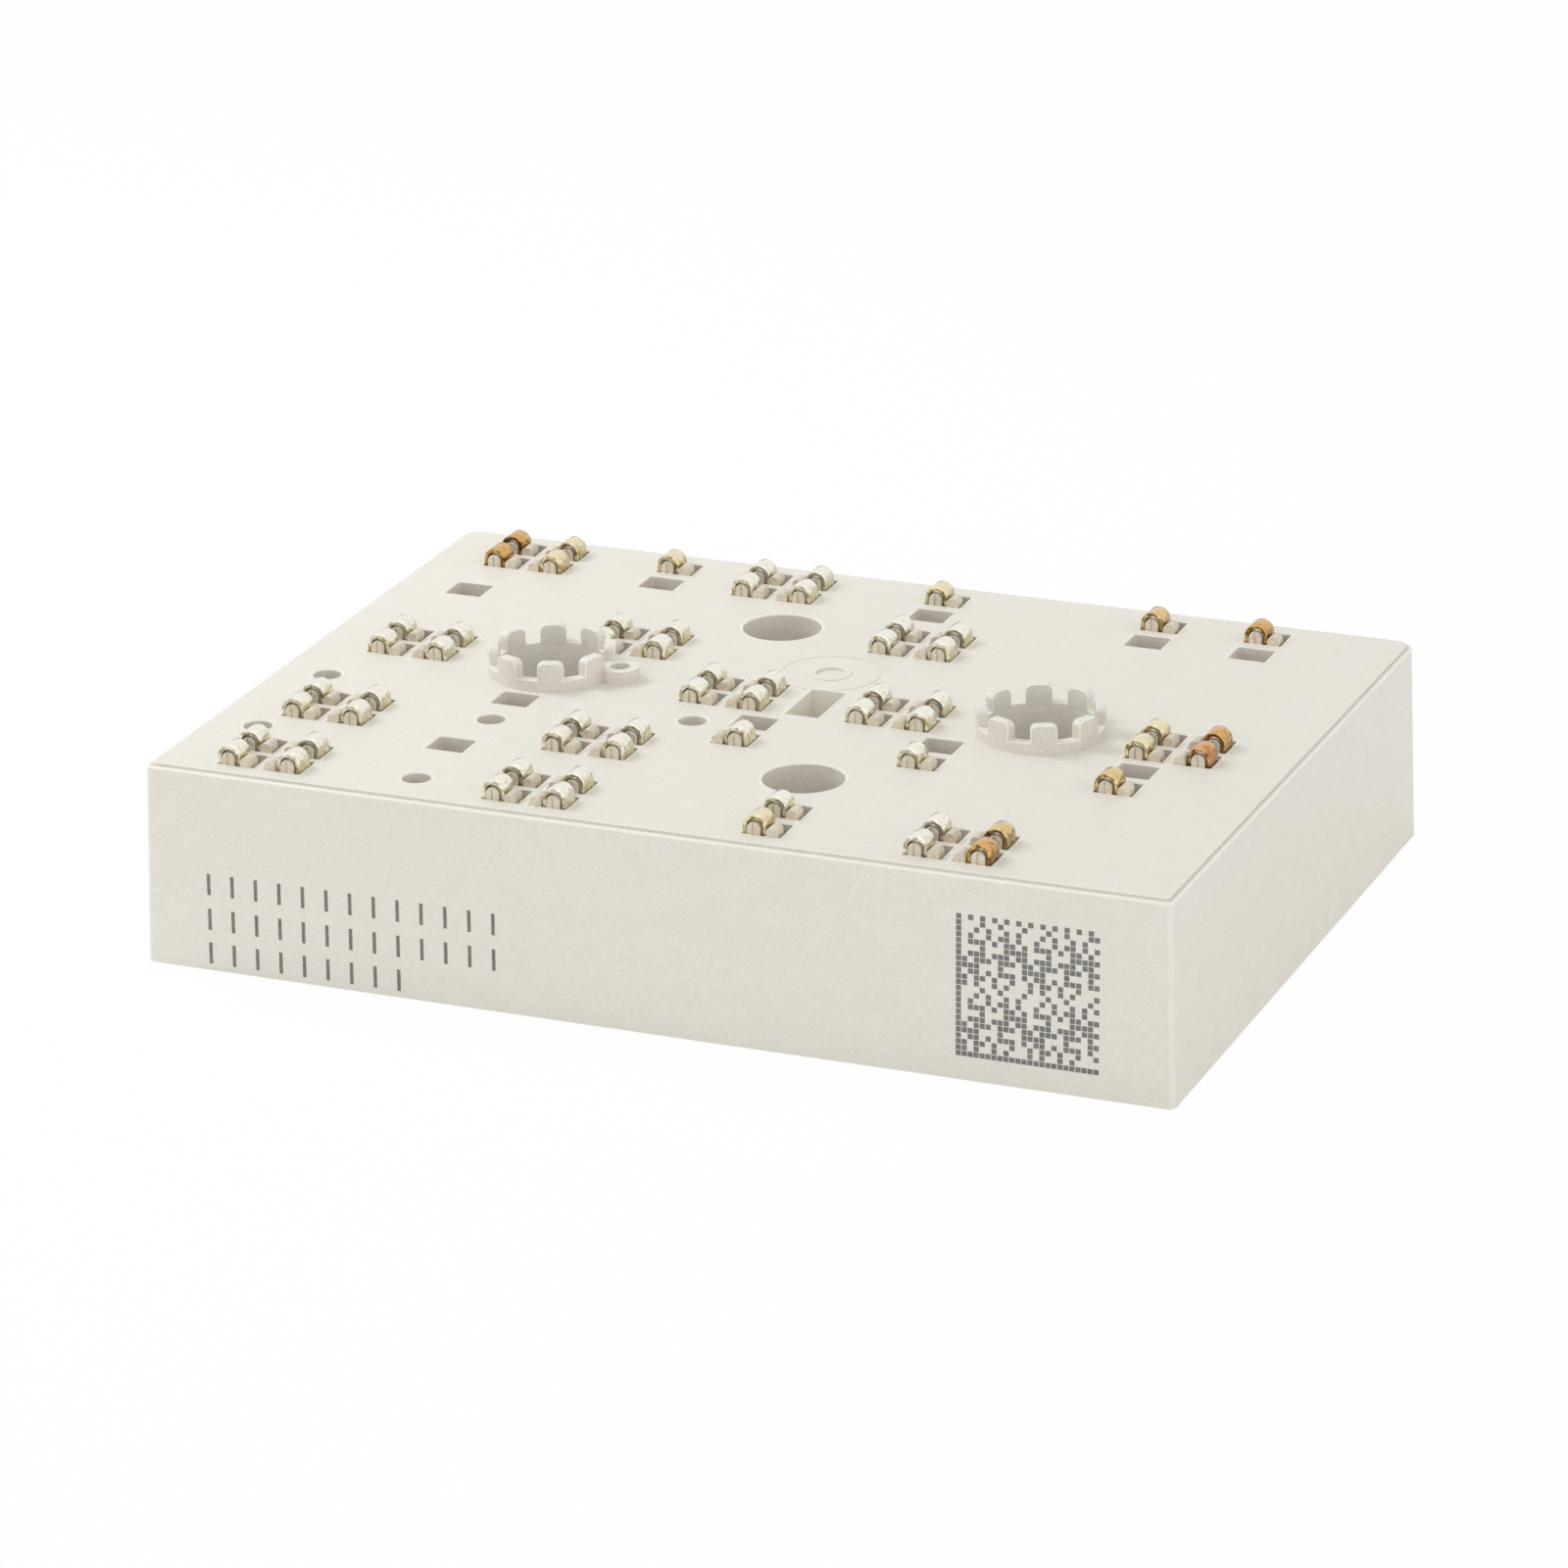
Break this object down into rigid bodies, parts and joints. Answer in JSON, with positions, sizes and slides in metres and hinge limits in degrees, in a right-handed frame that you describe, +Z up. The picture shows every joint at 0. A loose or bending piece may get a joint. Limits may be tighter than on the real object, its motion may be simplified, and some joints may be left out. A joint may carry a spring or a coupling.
{
  "type": "igbt module",
  "caption": "Flat rectangular power semiconductor module with rows of curved contact springs in square windows and castellated screw crowns on its top.",
  "frame": {"origin": "centre of the footprint on the plane of the lower copper, which lies on the heat sink", "axes": "+X along the length with the small ring beside the crown at -X, +Y to the back edge with the large corner radii, +Z up to the contact springs"},
  "size_m": [0.082, 0.059, 0.0183],
  "materials": {
    "housing_plastic": "fine matte, ivory",
    "spring_bronze": "silver plate over gold-brown bronze",
    "copper": "satin copper",
    "alumina": "matte white",
    "adhesive": "matte grey-white",
    "solder": "dull",
    "silicon": "metallised grey",
    "sensor_body": "matte",
    "bond_wire": "bright",
    "gel": "clear soft gel"
  },
  "bodies": {
    "root": {"housing": "housing_plastic", "adhesive_bead": "adhesive", "ceramic_plate": "alumina", "lower_copper": "copper", "upper_copper_tracks": "copper", "solder_layer": "solder", "silicone_gel": "gel", "transistor_wires": "bond_wire", "rectifier_wires": "bond_wire", "temperature_sensor": "sensor_body", "transistor_1": "silicon", "transistor_2": "silicon", "transistor_3": "silicon", "transistor_4": "silicon", "transistor_5": "silicon", "transistor_6": "silicon", "transistor_7": "silicon", "freewheel_diode_1": "silicon", "freewheel_diode_2": "silicon", "freewheel_diode_3": "silicon", "freewheel_diode_4": "silicon", "freewheel_diode_5": "silicon", "freewheel_diode_6": "silicon", "freewheel_diode_7": "silicon", "rectifier_diode_1": "silicon", "rectifier_diode_2": "silicon", "rectifier_diode_3": "silicon", "rectifier_diode_4": "silicon", "rectifier_diode_5": "silicon", "rectifier_diode_6": "silicon", "spring_block_1": "spring_bronze", "spring_block_2": "spring_bronze", "spring_block_3": "spring_bronze", "spring_block_4": "spring_bronze", "spring_block_5": "spring_bronze", "spring_block_6": "spring_bronze", "spring_block_7": "spring_bronze", "spring_block_8": "spring_bronze", "spring_block_9": "spring_bronze", "spring_block_10": "spring_bronze", "spring_block_11": "spring_bronze", "spring_block_12": "spring_bronze", "spring_block_13": "spring_bronze", "spring_pair": "spring_bronze", "single_spring_1": "spring_bronze", "single_spring_2": "spring_bronze", "single_spring_3": "spring_bronze", "single_spring_4": "spring_bronze", "single_spring_5": "spring_bronze", "single_spring_6": "spring_bronze", "single_spring_7": "spring_bronze"}
  },
  "joints": []
}
